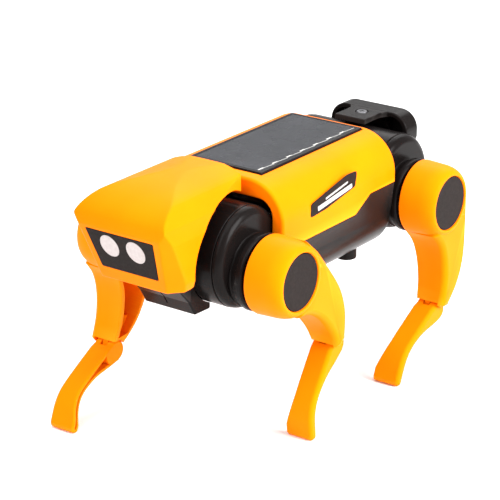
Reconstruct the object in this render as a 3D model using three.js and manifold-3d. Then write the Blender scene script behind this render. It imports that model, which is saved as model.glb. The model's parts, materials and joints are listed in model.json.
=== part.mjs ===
// Four-legged solar walking robot kit, in millimetres.
// +Z is up, the head points to -Y and +X is the robot's own left-hand side.
// The origin lies on the ground, under the middle of the whole outline.
//
// A small motor under the solar panel drives a three-stage gear train and a cross shaft.
// The shaft carries one crank disc on each side, half a turn apart. Two connecting rods run
// from each crank to rockers on the front and rear hip shafts, so that the legs trot.

import * as THREE from 'three';
import { mergeVertices } from 'three/addons/utils/BufferGeometryUtils.js';
import Module from 'manifold-3d';

const wasm = await Module();
wasm.setup();

// ---------------------------------------------------------------- driving dimensions

const GAP = 0.3; // between pieces that touch, slide or turn on each other
const WALL = 2.2; // moulded shells
const HIP_HEIGHT = 82.5; // hip axes above the ground
const WHEELBASE = 122; // front hip axis to rear hip axis
const FRONT_HIP_Y = -54.58; // puts the origin under the middle of the outline
const BODY_Y = FRONT_HIP_Y + WHEELBASE / 2;

const BODY_HALF = 36.7; // half width of the trunk
const BODY_FRONT = -47; // trunk ends, measured from the trunk's middle
const BODY_REAR = 43.5;
const BODY_TOP = 35;
const BODY_BOTTOM = -22;
const SHOULDER_RADIUS = 18.6; // upper edges of the trunk
const BELLY_RADIUS = 19; // lower edges of the trunk
const SEAM_LOW = 5.2; // joint line of the two trunk shells
const SEAM_HIGH = 12;

const PANEL = { width: 40, length: 80, thick: 2.4, rim: 1.8 };

const POD = { z: 5, radius: 22.9, half: 25.4, wall: 2.4, capFace: 30, capEdge: 4 };
const POD_ROOM = 25.4; // radius of the openings in the trunk round the drums
const COLLAR = { radius: 17.4, neck: 15.8, neckEnd: 33.4, end: 37 };

const HUB = { radius: 17.8, inner: 38.5, outer: 56.3, face: 13.7, edge: 9, wall: 2.4 };
const HUB_CAP = { radius: 12.7, depth: 2 };
const SHAFT_RADIUS = 3.6;
const SHAFT_END = 49.7;
const THIGH_OUTER = 55.6; // outer face of the thigh
const SHIN_INNER = 41.5;
const SHIN_OUTER = 52.3;
const KNEE = [0, -55.5]; // knee axis from the hip axis, with the thigh at zero
const KNUCKLE = 4.9;
const PIN_RADIUS = 1.4;
const ZERO_BEND = 50; // knee bend at which the shin outline below is drawn

const MODULE = 0.6; // gear teeth
const WHEEL_TEETH = 36;
const PINION_TEETH = 10;
const CENTRES = (MODULE * (WHEEL_TEETH + PINION_TEETH)) / 2;
const CRANK_THROW = 5;
const ROCKER = 12; // rocker pin from the hip axis

// Where each leg stands in the walk: thigh angle from the drawn outline, towards the rear.
const LEGS = [
  { name: 'front_left', side: 1, end: -1, thigh: 40 },
  { name: 'front_right', side: -1, end: -1, thigh: -6 },
  { name: 'rear_left', side: 1, end: 1, thigh: 0 },
  { name: 'rear_right', side: -1, end: 1, thigh: 40 },
];

// ---------------------------------------------------------------- materials

function plastic(color, roughness = 0.45) {
  return new THREE.MeshStandardMaterial({ color, roughness, metalness: 0 });
}

const yellow = () => plastic(0xffbe00, 0.42);
const black = () => plastic(0x262223, 0.38);
const badgeBlack = () => plastic(0x474040, 0.7);
const eyeWhite = () => plastic(0xefe6e2, 0.6);
const gearWhite = () => plastic(0xe9e6dc, 0.5);
const cellBlue = () => plastic(0x1b1c22, 0.18);
const wireRed = () => plastic(0xb02a20, 0.5);

function steel() {
  return new THREE.MeshStandardMaterial({ color: 0xb9bcc0, roughness: 0.3, metalness: 1 });
}

// ---------------------------------------------------------------- solids

const rad = THREE.MathUtils.degToRad;
const X_AXIS = new THREE.Vector3(1, 0, 0);
const Y_AXIS = new THREE.Vector3(0, 1, 0);
const Z_AXIS = new THREE.Vector3(0, 0, 1);

function solid(geometry) {
  geometry.deleteAttribute('normal');
  geometry.deleteAttribute('uv');
  const merged = mergeVertices(geometry, 1e-4);
  const vertProperties = merged.attributes.position.array;
  const triVerts = new Uint32Array(merged.index.array);
  return new wasm.Manifold(new wasm.Mesh({ numProp: 3, vertProperties, triVerts }));
}

function toMesh(name, body, material) {
  const data = body.getMesh();
  const geometry = new THREE.BufferGeometry();
  geometry.setAttribute('position', new THREE.BufferAttribute(data.vertProperties, 3));
  geometry.setIndex(new THREE.BufferAttribute(data.triVerts, 1));
  geometry.computeVertexNormals();
  const mesh = new THREE.Mesh(geometry, material);
  mesh.name = name;
  return mesh;
}

function box(x0, x1, y0, y1, z0, z1) {
  const geometry = new THREE.BoxGeometry(x1 - x0, y1 - y0, z1 - z0);
  geometry.translate((x0 + x1) / 2, (y0 + y1) / 2, (z0 + z1) / 2);
  return solid(geometry);
}

// An outline is a THREE.Shape or a list of [u, v] points.
function asShape(outline) {
  if (outline.isShape) {
    return outline;
  }
  return new THREE.Shape(outline.map(([u, v]) => new THREE.Vector2(u, v)));
}

function extrude(outline, depth, curveSegments) {
  return new THREE.ExtrudeGeometry(asShape(outline), { depth, bevelEnabled: false, curveSegments });
}

// Outline in (y, z), between two places on X, given in either order.
function prismX(outline, xa, xb, curveSegments = 8) {
  const geometry = extrude(outline, Math.abs(xb - xa), curveSegments);
  geometry.applyMatrix4(new THREE.Matrix4().makeBasis(Y_AXIS, Z_AXIS, X_AXIS));
  geometry.translate(Math.min(xa, xb), 0, 0);
  return solid(geometry);
}

// Outline in (x, z), from y0 to y1.
function prismY(outline, y0, y1, curveSegments = 8) {
  const geometry = extrude(outline, y1 - y0, curveSegments);
  geometry.applyMatrix4(new THREE.Matrix4().makeBasis(X_AXIS, Z_AXIS, Y_AXIS.clone().negate()));
  geometry.translate(0, y1, 0);
  return solid(geometry);
}

// Outline in (x, y), from z0 to z1.
function prismZ(outline, z0, z1, curveSegments = 8) {
  const geometry = extrude(outline, z1 - z0, curveSegments);
  geometry.translate(0, 0, z0);
  return solid(geometry);
}

function rodX(radius, xa, xb, y = 0, z = 0, segments = 16) {
  const geometry = new THREE.CylinderGeometry(radius, radius, Math.abs(xb - xa), segments);
  geometry.rotateZ(Math.PI / 2);
  geometry.translate((xa + xb) / 2, y, z);
  return solid(geometry);
}

function rodZ(radius, z0, z1, x = 0, y = 0, segments = 16) {
  const geometry = new THREE.CylinderGeometry(radius, radius, z1 - z0, segments);
  geometry.rotateX(Math.PI / 2);
  geometry.translate(x, y, (z0 + z1) / 2);
  return solid(geometry);
}

// Closed profile of [x, radius] points turned about the X axis, on the side given.
function turned(profile, side, segments = 32) {
  const points = profile.map(([x, r]) => new THREE.Vector2(r, side * x));
  const make = (list) => {
    const geometry = new THREE.LatheGeometry([...list, list[0]], segments);
    geometry.rotateZ(-Math.PI / 2);
    return solid(geometry);
  };
  const body = make(points);
  return body.volume() > 0 ? body : make(points.reverse());
}

// Points of an arc from angle a to b in degrees.
function arc(cu, cv, radius, a, b, steps) {
  const angles = Array.from({ length: steps + 1 }, (_, i) => rad(a + ((b - a) * i) / steps));
  return angles.map((t) => [cu + radius * Math.cos(t), cv + radius * Math.sin(t)]);
}

// Smooth curve through the points given, sampled in equal steps.
function curve(points, steps) {
  const spline = new THREE.SplineCurve(points.map(([u, v]) => new THREE.Vector2(u, v)));
  return spline.getPoints(steps).map((p) => [p.x, p.y]);
}

const mirrored = (half) => [...half, ...half.slice().reverse().map(([x, v]) => [-x, v])];

// Outline moved inwards by d; the outline runs anticlockwise.
function inset(outline, d) {
  const n = outline.length;
  const edges = outline.map(([u, v], i) => {
    const [u2, v2] = outline[(i + 1) % n];
    const length = Math.hypot(u2 - u, v2 - v);
    const nu = -(v2 - v) / length;
    const nv = (u2 - u) / length;
    return { nu, nv, c: nu * u + nv * v + d };
  });
  return edges.map((e, i) => {
    const p = edges[(i + n - 1) % n];
    const det = p.nu * e.nv - p.nv * e.nu;
    if (Math.abs(det) < 0.02) {
      return [outline[i][0] + e.nu * d, outline[i][1] + e.nv * d];
    }
    return [(p.c * e.nv - p.nv * e.c) / det, (p.nu * e.c - p.c * e.nu) / det];
  });
}

function anticlockwise(outline) {
  const area = outline.reduce((sum, [u, v], i) => {
    const [u2, v2] = outline[(i + 1) % outline.length];
    return sum + u * v2 - u2 * v;
  }, 0);
  return area > 0 ? outline : outline.slice().reverse();
}

// ---------------------------------------------------------------- trunk shells

function trunkSection(d) {
  const half = BODY_HALF - d;
  const shoulder = SHOULDER_RADIUS - d;
  const belly = BELLY_RADIUS - d;
  const bellyHalf = 34.7 - d;
  return mirrored([
    ...arc(bellyHalf - belly, BODY_BOTTOM + BELLY_RADIUS, belly, -90, 0, 5),
    [half, SEAM_HIGH],
    ...arc(half - shoulder, BODY_TOP - SHOULDER_RADIUS, shoulder, 0, 90, 7),
  ]);
}

function trunkShell() {
  const outer = prismY(trunkSection(0), BODY_FRONT, BODY_REAR);
  const inner = prismY(trunkSection(WALL), BODY_FRONT + WALL, BODY_REAR - WALL);
  const ceiling = box(-24, 24, BODY_FRONT, BODY_REAR, 31, BODY_TOP).intersect(outer);
  return outer.subtract(inner).add(ceiling);
}

// Room for one pod and its collars at either end of the trunk.
function podRoom(end) {
  const profile = [
    [-POD.capFace - 0.4, 0],
    [-POD.capFace - 0.4, POD_ROOM],
    [POD.capFace + 0.4, POD_ROOM],
    [POD.capFace + 0.4, 0],
  ];
  const drum = turned(profile, 1).translate([0, 0, POD.z]);
  const collars = rodX(COLLAR.radius + 0.8, -BODY_HALF - 2, BODY_HALF + 2, 0, 0, 28);
  return drum.add(collars).translate([0, (end * WHEELBASE) / 2, 0]);
}

// Side view of everything above the joint line, moved up by d.
function aboveSeam(d) {
  const y = [BODY_FRONT - 5, 10, 22, BODY_REAR + 5];
  const line = [
    [y[0], SEAM_LOW + d],
    [y[1], SEAM_LOW + d],
    [y[2], SEAM_HIGH + d],
    [y[3], SEAM_HIGH + d],
    [y[3], BODY_TOP + 10],
    [y[0], BODY_TOP + 10],
  ];
  return prismX(line, -BODY_HALF - 5, BODY_HALF + 5);
}

// Tongue of each pod: it lies on the belly bosses and is screwed to them.
const TONGUE = { half: 23.5, z0: -17.2, z1: -14.6 };
const BOSS = { depth: 24, seat: -21.2 }; // screw bosses under the belly
const BELLY_SCREWS = [-1, 1].flatMap((sx) => [-1, 1].map((sy) => [sx * 21, sy * 26.5]));

function upperShell() {
  const p = PANEL;
  const seat = box(
    -p.width / 2 - GAP, p.width / 2 + GAP,
    -p.length / 2 - GAP, p.length / 2 + GAP,
    BODY_TOP - 1.9, BODY_TOP + 5,
  );
  const wireHole = rodZ(2, 28, BODY_TOP, -10, -24);
  return trunkShell()
    .intersect(aboveSeam(GAP / 2))
    .subtract(podRoom(-1))
    .subtract(podRoom(1))
    .subtract(seat)
    .subtract(wireHole);
}

function lowerShell() {
  let shell = trunkShell().subtract(aboveSeam(-GAP / 2)).subtract(podRoom(-1)).subtract(podRoom(1));
  for (const end of [-1, 1]) {
    const y = (end * WHEELBASE) / 2;
    const near = end > 0 ? [BODY_REAR - WALL - 1, y] : [y, BODY_FRONT + WALL + 1];
    const half = TONGUE.half + GAP;
    shell = shell.subtract(box(-half, half, ...near, TONGUE.z0 - GAP, TONGUE.z1 + GAP));
  }
  for (const [x, y] of BELLY_SCREWS) {
    shell = shell.add(rodZ(5, -BOSS.depth, TONGUE.z0 - GAP, x, y, 20));
    shell = shell.subtract(rodZ(3.1, -26, BOSS.seat, x, y, 16)).subtract(rodZ(1.6, -26, -10, x, y, 12));
  }
  return shell;
}

function bellyScrew([x, y]) {
  return rodZ(2.7, BOSS.seat - 2, BOSS.seat - GAP, x, y, 16).add(rodZ(1.2, -23, TONGUE.z1, x, y, 10));
}

// ---------------------------------------------------------------- solar panel

const PANEL_Z = BODY_TOP - 1.9 + GAP;

function panelFrame() {
  const { width, length, thick, rim } = PANEL;
  const tray = box(-width / 2, width / 2, -length / 2, length / 2, PANEL_Z, PANEL_Z + thick);
  const well = box(
    -width / 2 + rim, width / 2 - rim,
    -length / 2 + rim, length / 2 - rim,
    PANEL_Z + 1, PANEL_Z + thick + 1,
  );
  const wirePort = box(-12, -8, -26, -22, PANEL_Z - 1, PANEL_Z + 2);
  return tray.subtract(well).subtract(wirePort);
}

function panelCell() {
  const x = PANEL.width / 2 - PANEL.rim - GAP;
  const y = PANEL.length / 2 - PANEL.rim - GAP;
  return box(-x, x, -y, y, PANEL_Z + 1 + GAP, PANEL_Z + PANEL.thick);
}

// ---------------------------------------------------------------- pods

// Span on Y from a to b, measured from a hip axis towards the middle of the trunk.
function inwards(end, a, b) {
  return [-end * a, -end * b].sort((p, q) => p - q);
}

// The drum that holds the rockers of one pair of legs, with a tongue that screws to the belly.
function pod(end) {
  const { z, radius, half, wall } = POD;
  const ring = [
    [-half, radius - wall],
    [-half, radius],
    [half, radius],
    [half, radius - wall],
  ];
  let body = turned(ring, 1).translate([0, 0, z]).add(rodX(radius - 1, -1, 1, 0, z, 24));
  for (const xs of [[18.6, half + 1], [-half - 1, -18.6]]) {
    body = body.subtract(box(...xs, ...inwards(end, 6, 30), -15.5, 16));
  }
  const lug = WHEELBASE / 2 - BELLY_SCREWS[3][1];
  let tongue = box(-TONGUE.half, TONGUE.half, ...inwards(end, 7, lug + 5), TONGUE.z0, TONGUE.z1);
  tongue = tongue.subtract(rodX(radius - 1, -30, 30, 0, z, 32));
  tongue = tongue.subtract(box(-18.5, 18.5, ...inwards(end, 30, 45), -20, -10));
  body = body.add(tongue);
  for (const x of [-BELLY_SCREWS[3][0], BELLY_SCREWS[3][0]]) {
    body = body.subtract(rodZ(1.5, -20, -10, x, -end * lug, 12));
  }
  return body;
}

function podCap(side) {
  const { z, radius, half, wall, capFace, capEdge } = POD;
  const rim = radius - 0.2;
  const profile = [
    [half + GAP, 0],
    [half + GAP, rim],
    ...arc(capFace - capEdge, rim - capEdge, capEdge, 90, 0, 4),
    [capFace, 0],
  ];
  const collar = [
    [capFace - 1, 0],
    [capFace - 1, COLLAR.neck],
    [COLLAR.neckEnd, COLLAR.neck],
    [COLLAR.neckEnd, COLLAR.radius - 0.6],
    [COLLAR.neckEnd + 0.6, COLLAR.radius],
    [COLLAR.end - 1.2, COLLAR.radius],
    [COLLAR.end, COLLAR.radius - 1.2],
    [COLLAR.end, 0],
  ];
  const solidCap = turned(profile, side).translate([0, 0, z]).add(turned(collar, side, 28));
  const discHollow = rodX(rim - wall, side * half, side * (capFace - wall), 0, z, 28);
  const collarHollow = rodX(COLLAR.neck - wall, side * half, side * (COLLAR.end - wall), 0, 0, 24);
  const tube = rodX(SHAFT_RADIUS + wall, side * (half + GAP), side * (COLLAR.end - 1), 0, 0, 20);
  const bore = rodX(SHAFT_RADIUS + GAP, side * 20, side * 40);
  return solidCap.subtract(discHollow).subtract(collarHollow).add(tube).subtract(bore);
}

// ---------------------------------------------------------------- rear hood

const HOOD_SCREW_Y = 9;

function rearHood() {
  const half = 22.5;
  const outline = mirrored([
    [14, 14],
    [half - 2, 16],
    [half, 20],
    ...arc(half - 9, 23.5, 9, 0, 90, 5),
  ]);
  const back = 26;
  const block = prismY(outline, 15, back);
  const hollow = prismY(inset(anticlockwise(outline), 2), 14, back - 2.2);
  const shell = block.subtract(hollow);
  const strap = box(-8.5, 8.5, -1.5, 25, 30.2, 32.4);
  const web = prismX([[14, 32], [25, 32], [25, 20], [22, 20]], -8.5, 8.5);
  const clear = rodX(POD.radius + 0.3, -40, 40, 0, POD.z, 64);
  return shell.add(strap).add(web).subtract(clear).subtract(rodZ(1.6, 20, 40, 0, HOOD_SCREW_Y, 12));
}

function hoodScrew() {
  return rodZ(2.8, 32.7, 34, 0, HOOD_SCREW_Y, 16).add(rodZ(1.25, 29.2, 33, 0, HOOD_SCREW_Y, 12));
}

// ---------------------------------------------------------------- head

// Lower and upper edge of the visor's front face, in side view from the front hip axis.
const CHIN = [-43, -0.5];
const BROW = [-53.4, 26.6];

// Facet between the face and each side of the head: its outward direction and distance.
const CHEEK = { normal: [0.639, -0.68, -0.36], reach: 40.57 };

// Side view of the visor; d shrinks it.
function headSide(d) {
  const crown = [[9, 41.6], [-6, 42.4], [-22, 41.8], [-36, 39.9], [-46, 36.6], [-51.7, 32.4], BROW];
  const outline = [CHIN, [-33, 0], [9, 4], ...curve(crown, 12)];
  return inset(anticlockwise(outline), d);
}

function headFront(d) {
  return inset(anticlockwise(mirrored([
    [20.5, -6],
    [24.6, 4],
    [25.6, 24],
    [24.4, 31],
    [19.4, 38.4],
    [9, 41.6],
    [4, 42.6],
  ])), d);
}

function headPlan(d) {
  return inset(anticlockwise(mirrored([
    [25.6, -60],
    [25.6, -22],
    [18.6, 8.4],
    [6, 9],
  ])), d);
}

function headForm(d) {
  const { normal, reach } = CHEEK;
  const [x, y, z] = normal;
  return prismX(headSide(d), -40, 40)
    .intersect(prismY(headFront(d), -70, 30))
    .intersect(prismZ(headPlan(d), -30, 60))
    .trimByPlane([-x, -y, -z], d - reach)
    .trimByPlane([x, -y, -z], d - reach);
}

const FACE_TILT = Math.atan2(CHIN[0] - BROW[0], BROW[1] - CHIN[1]);

// Puts what is drawn in the XZ plane onto the front face, with its foot at the chin.
function onFace(body) {
  return body.rotate([(FACE_TILT * 180) / Math.PI, 0, 0]).translate([0, ...CHIN]);
}

function eyePlateOutline(d) {
  return inset(anticlockwise(mirrored([[15.1, 6.8], [18, 27]])), d);
}

const EYE_X = 7;
const EYE_HEIGHT = 19.8;
const EYE_HALF = { wide: 4.85, tall: 5.7 };

function headShell() {
  const room = rodX(27.4, -40, 40, -5.4, 7, 64);
  const neck = box(-15, 15, -40, -20, -5, 3);
  const recess = onFace(prismY(eyePlateOutline(-GAP), -0.9, 0.9));
  return headForm(0).subtract(headForm(WALL)).subtract(room).subtract(neck).subtract(recess);
}

// Outline of an eye, widened by d.
function eyeOutline(x, d) {
  const { wide, tall } = EYE_HALF;
  return arc(0, 0, 1, 0, 345, 23).map(([u, v]) => [x + u * (wide + d), EYE_HEIGHT + v * (tall + d)]);
}

function eyePlate() {
  let plate = prismY(eyePlateOutline(0), -0.4, 0.6);
  for (const x of [-EYE_X, EYE_X]) {
    plate = plate.subtract(prismY(eyeOutline(x, GAP), -2, 2));
  }
  return onFace(plate);
}

function eye(x) {
  return onFace(prismY(eyeOutline(x, 0), -0.5, 0.6));
}

function neckMount() {
  const outline = [
    [-36, 2.6],
    [-30, -4.5],
    [-23, -12.2],
    [-18.8, -19.2],
    [-8, -19.6],
    [-8, -14],
    [-20, 8],
    [-24.5, 24],
    [-28, 24],
  ];
  const clear = rodX(POD.radius + 0.3, -40, 40, 0, POD.z, 64);
  return prismX(outline, -14, 14).subtract(clear);
}

// ---------------------------------------------------------------- gear train

function gearOutline(teeth, phase) {
  const pitch = (teeth * MODULE) / 2;
  const tip = pitch + 0.9 * MODULE;
  const root = pitch - 1.2 * MODULE;
  const slope = Math.tan(rad(20));
  const atPitch = (Math.PI * MODULE) / 4 - 0.15;
  const atTip = (atPitch - 0.9 * MODULE * slope) / tip;
  const atRoot = (atPitch + 1.2 * MODULE * slope) / root;
  const points = [];
  for (let i = 0; i < teeth; i += 1) {
    const centre = phase + (i * 2 * Math.PI) / teeth;
    for (const [r, a] of [[root, -atRoot], [tip, -atTip], [tip, atTip], [root, atRoot]]) {
      points.push([r * Math.cos(centre + a), r * Math.sin(centre + a)]);
    }
  }
  return points;
}

// Phase of a gear that meshes with a gear of a known phase in the direction given.
function meshPhase(phase, teeth, direction, nextTeeth) {
  const a = ((direction - phase) * teeth) / (2 * Math.PI);
  return direction + Math.PI - ((0.5 - a) * 2 * Math.PI) / nextTeeth;
}

function stepFrom([y, z], degrees) {
  return [y + CENTRES * Math.cos(rad(degrees)), z + CENTRES * Math.sin(rad(degrees))];
}

const TRAIN_ANGLES = [22, 124, 187.5];
const CRANK_AXIS = [0, 0];
const SECOND_AXIS = stepFrom(CRANK_AXIS, TRAIN_ANGLES[0]);
const FIRST_AXIS = stepFrom(SECOND_AXIS, TRAIN_ANGLES[1]);
const MOTOR_AXIS = stepFrom(FIRST_AXIS, TRAIN_ANGLES[2]);
const PLATE_INNER = 15;
const PLATE_OUTER = 17;
const POSTS = [[-10, -14.2], [11, -14.6], [20, 18]];

function phases() {
  const second = meshPhase(0, WHEEL_TEETH, rad(TRAIN_ANGLES[0]), PINION_TEETH);
  const first = meshPhase(0, WHEEL_TEETH, rad(TRAIN_ANGLES[1]), PINION_TEETH);
  const motor = meshPhase(0, WHEEL_TEETH, rad(TRAIN_ANGLES[2]), PINION_TEETH);
  return { second, first, motor };
}

function compoundGear([y, z], pinionPhase, wheelX, pinionX) {
  const wheel = prismX(gearOutline(WHEEL_TEETH, 0), ...wheelX);
  const pinion = prismX(gearOutline(PINION_TEETH, pinionPhase), ...pinionX);
  return wheel.add(pinion).subtract(rodX(0.9 + GAP, -20, 20, 0, 0, 12)).translate([0, y, z]);
}

// Cross shaft with the last wheel and the left crank disc.
function crankShaft() {
  const wheel = prismX(gearOutline(WHEEL_TEETH, 0), 7, 9);
  return wheel.add(rodX(2, -17.5, 18)).add(rodX(4, 5.5, 9)).add(crankDisc(1));
}

function crankDisc(side) {
  const pinY = -side * CRANK_THROW;
  const disc = rodX(7.5, side * 17.8, side * 19.2, 0, 0, 32);
  return disc.add(rodX(PIN_RADIUS, side * 19, side * 19.6, pinY, 0, 12));
}

function gearboxPlate(side) {
  const outline = [
    [-14, -19.3], [14, -19.3], [17.5, -4], [23.5, 17], [20.5, 24.5], [-16, 27], [-21, 20], [-20, 2],
  ];
  let plate = prismX(outline, side * PLATE_INNER, side * PLATE_OUTER);
  plate = plate.subtract(rodX(2 + GAP, -20, 20, ...CRANK_AXIS, 16));
  for (const [y, z] of [FIRST_AXIS, SECOND_AXIS]) {
    plate = plate.subtract(rodX(0.9 + GAP, -20, 20, y, z, 12));
  }
  for (const [y, z] of POSTS) {
    if (side > 0) {
      plate = plate.add(rodX(1.8, -PLATE_INNER + GAP, PLATE_INNER + 0.5, y, z, 12));
      plate = plate.add(rodX(1, -PLATE_OUTER, PLATE_INNER, y, z, 12));
    } else {
      plate = plate.subtract(rodX(1 + GAP, -20, 0, y, z, 12));
    }
  }
  return plate;
}

function arbor([y, z]) {
  return rodX(0.9, -16.8, 16.8, y, z, 12);
}

function motorSection(radius, flat) {
  const a = (Math.asin(flat / radius) * 180) / Math.PI;
  return [...arc(0, 0, radius, -a, a, 6), ...arc(0, 0, radius, 180 - a, 180 + a, 6)];
}

function motor() {
  const can = prismX(motorSection(10, 7.6), -12, 5.2).add(prismX(motorSection(9.4, 7), -14.6, -12));
  const nose = rodX(3, 5, 6.2, 0, 0, 16);
  return can.add(nose).subtract(rodX(1 + GAP, 2, 8, 0, 0, 12)).translate([0, ...MOTOR_AXIS]);
}

function motorPinion(phase) {
  const pinion = prismX(gearOutline(PINION_TEETH, phase), 8, 14.4);
  return pinion.add(rodX(1, 2.5, 8.5, 0, 0, 12)).translate([0, ...MOTOR_AXIS]);
}

// Flat twin wire from the panel to the top of the motor's rear end.
function panelWire() {
  const [y, z] = MOTOR_AXIS;
  const route = new THREE.CatmullRomCurve3([
    new THREE.Vector3(-10, -24, PANEL_Z + 0.6),
    new THREE.Vector3(-10, -24, 28.6),
    new THREE.Vector3(-11.4, -19, 26.4),
    new THREE.Vector3(-13.3, y - 3, 27),
    new THREE.Vector3(-13.3, y, z + 7.4),
  ]);
  const section = [...arc(-0.7, 0, 0.5, 60, 300, 4), ...arc(0.7, 0, 0.5, -120, 120, 4)];
  return solid(new THREE.ExtrudeGeometry(asShape(section), { steps: 14, extrudePath: route }));
}

// ---------------------------------------------------------------- rods and hip shafts

// Sideways place of each rod and of its rocker.
const ROD_X = { front: [20, 21.4], rear: [21.7, 23.1] };
const ROCKER_X = [23.4, 25.2];

// Rocker pin of a leg at rest, from the hip axis: the cranks stand at the ends of their throw.
function rockerPin({ side, end }) {
  const y = -side * CRANK_THROW;
  const up = end < 0 ? 1 : -1;
  return [y, up * Math.sqrt(ROCKER ** 2 - y ** 2)];
}

function hipShaft(leg) {
  const { side } = leg;
  const [py, pz] = rockerPin(leg);
  const levels = leg.end < 0 ? ROD_X.front : ROD_X.rear;
  const angle = (Math.atan2(pz, py) * 180) / Math.PI;
  const arm = [
    ...arc(0, 0, 5.5, angle + 100, angle + 260, 8),
    ...arc(py, pz, 3, angle - 80, angle + 80, 6),
  ];
  const shaft = rodX(SHAFT_RADIUS, side * ROCKER_X[0], side * SHAFT_END, 0, 0, 24);
  const pin = rodX(PIN_RADIUS, side * (levels[0] - 0.1), side * (ROCKER_X[0] + 0.5), py, pz, 12);
  const screwHole = rodX(1.3, side * 44, side * 60, 0, 0, 10);
  return shaft.add(prismX(arm, side * ROCKER_X[0], side * ROCKER_X[1])).add(pin).subtract(screwHole);
}

// Flat bar from the rocker pin to the crank pin, in trunk coordinates.
function connectingRod(leg) {
  const { side, end } = leg;
  const [py, pz] = rockerPin(leg);
  const a = [(end * WHEELBASE) / 2 + py, pz];
  const b = [-side * CRANK_THROW, 0];
  const levels = end < 0 ? ROD_X.front : ROD_X.rear;
  const xs = levels.map((x) => side * x);
  const angle = (Math.atan2(b[1] - a[1], b[0] - a[0]) * 180) / Math.PI;
  const bar = [
    ...arc(...a, 1.7, angle + 90, angle + 270, 2),
    ...arc(...b, 1.7, angle - 90, angle + 90, 2),
  ];
  const eyeEnds = rodX(3, ...xs, ...a, 20).add(rodX(3, ...xs, ...b, 20));
  const holes = rodX(PIN_RADIUS + GAP, side * 10, side * 30, ...a, 12)
    .add(rodX(PIN_RADIUS + GAP, side * 10, side * 30, ...b, 12));
  return prismX(bar, ...xs).add(eyeEnds).subtract(holes);
}

// ---------------------------------------------------------------- legs

const THIGH = anticlockwise([
  [-6, -6],
  ...curve([
    [-10.3, -14.5], [-5.6, -19.6], [-2.6, -26], [-1.2, -34], [-1.4, -42.5], [-3.4, -51.4],
  ], 8),
  [-1.4, -53.2],
  [3.4, -53.4],
  ...curve([
    [4.6, -51.8], [7.9, -48.6], [11.6, -44], [14.7, -38], [16.8, -30.5], [17.5, -21], [17.6, -3],
  ], 8),
  [16, 7],
]);

const SHIN = anticlockwise([
  ...arc(0, 0, KNUCKLE, -50, 132, 8),
  ...curve([
    [-6.4, 2.6], [-14.4, -2], [-23.7, -7.6], [-29, -11.6], [-32.6, -16.4], [-34.6, -21], [-36, -25],
  ], 9),
  ...curve([
    [-35.6, -26.6], [-34, -27.6], [-32.2, -27.2], [-31.2, -25.4], [-29.4, -20.8], [-27, -16.4],
    [-23.8, -12.9], [-19.2, -10], [-13, -7.7], [-5, -6.3], [1.2, -5],
  ], 14),
]);

function hub(side) {
  const { radius, inner, outer, face, edge } = HUB;
  const shoulder = arc(0, 0, 1, 90, 0, 5).map(([u, v]) => [
    outer - edge + edge * u,
    face + (radius - 0.4 - face) * v,
  ]);
  return turned([[inner, 0], [inner, radius], ...shoulder, [outer, 0]], side);
}

function hubHollow(side) {
  const { radius, inner, outer, wall } = HUB;
  const floor = outer - HUB_CAP.depth - 2;
  const rim = radius - wall;
  const post = 7.5;
  const ring = [[inner - 1, post], [inner - 1, rim], [floor - 3, rim], [floor, rim - 1.2], [floor, post]];
  return turned(ring, side, 24);
}

function kneeTongue(side) {
  const neck = [[3.9, -50], [9.5, -45.5], [12, -41], [-0.6, -41], [-1.4, -47]];
  return prismX([...arc(...KNEE, 3.4, 180, 360, 10), ...neck], side * 45.2, side * 48.2);
}

function thigh(side) {
  const plate = prismX(THIGH, side * HUB.inner, side * THIGH_OUTER);
  const recess = prismX(inset(THIGH, 2), side * (HUB.inner - 1), side * (THIGH_OUTER - 2));
  const taper = prismY(
    anticlockwise([[side * 38, -18], [side * 41.6, -58], [side * 36, -58], [side * 36, -18]]), -60, 60,
  );
  const shinSide = [side * 30, side * (SHIN_OUTER + 0.45)];
  const knuckleRoom = rodX(KNUCKLE + 0.45, ...shinSide, ...KNEE, 24)
    .add(prismX([[-12, -60], [-1, -60], [-1, -50.3], [-12, -50.3]], ...shinSide));
  let body = plate.subtract(recess).subtract(taper).add(hub(side)).subtract(hubHollow(side));
  body = body.subtract(knuckleRoom);
  body = body.add(kneeTongue(side)).subtract(rodX(PIN_RADIUS + GAP, side * 30, side * 51, ...KNEE, 12));
  body = body.subtract(rodX(SHAFT_RADIUS + GAP, side * 30, side * (SHAFT_END + GAP), 0, 0, 24));
  body = body.subtract(rodX(1.6, side * 48, side * 60, 0, 0, 12));
  const seat = [side * (HUB.outer - HUB_CAP.depth), side * 60];
  body = body.subtract(rodX(HUB_CAP.radius + GAP, ...seat, 0, 0, 32));
  return body.subtract(rodX(3.5, side * 52, side * 60, 0, 0, 16));
}

// How far the foot is wider than the calf on its inboard side, about the knee axis.
function flare(y, z) {
  const share = Math.min(1, Math.max(0, (Math.hypot(y, z) - 26) / 14));
  return 3 * share * share;
}

// Drawn about the knee axis.
function shin(side) {
  const plate = prismX(SHIN, side * SHIN_INNER, side * SHIN_OUTER).warp((v) => {
    if (Math.abs(v[0]) < SHIN_INNER + GAP) {
      v[0] -= side * flare(v[1], v[2]);
    }
  });
  const pocket = prismX(inset(SHIN, 1.5), side * (SHIN_INNER - 1), side * (SHIN_OUTER - 2));
  const keep = rodX(KNUCKLE + 2.5, side * 30, side * 60, 0, 0, 24);
  const slotOutline = [...arc(0, 0, 4, 165, 366, 10), [6.5, 1.6], [6.5, 8], [-4.6, 8]];
  const slot = prismX(slotOutline, side * 44.8, side * 48.6);
  const pinHole = rodX(PIN_RADIUS + GAP, side * 30, side * 51, 0, 0, 12);
  return plate.subtract(pocket.subtract(keep)).subtract(slot).subtract(pinHole);
}

function kneePin(side) {
  return rodX(PIN_RADIUS, side * 42, side * 50.7, 0, 0, 16);
}

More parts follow.
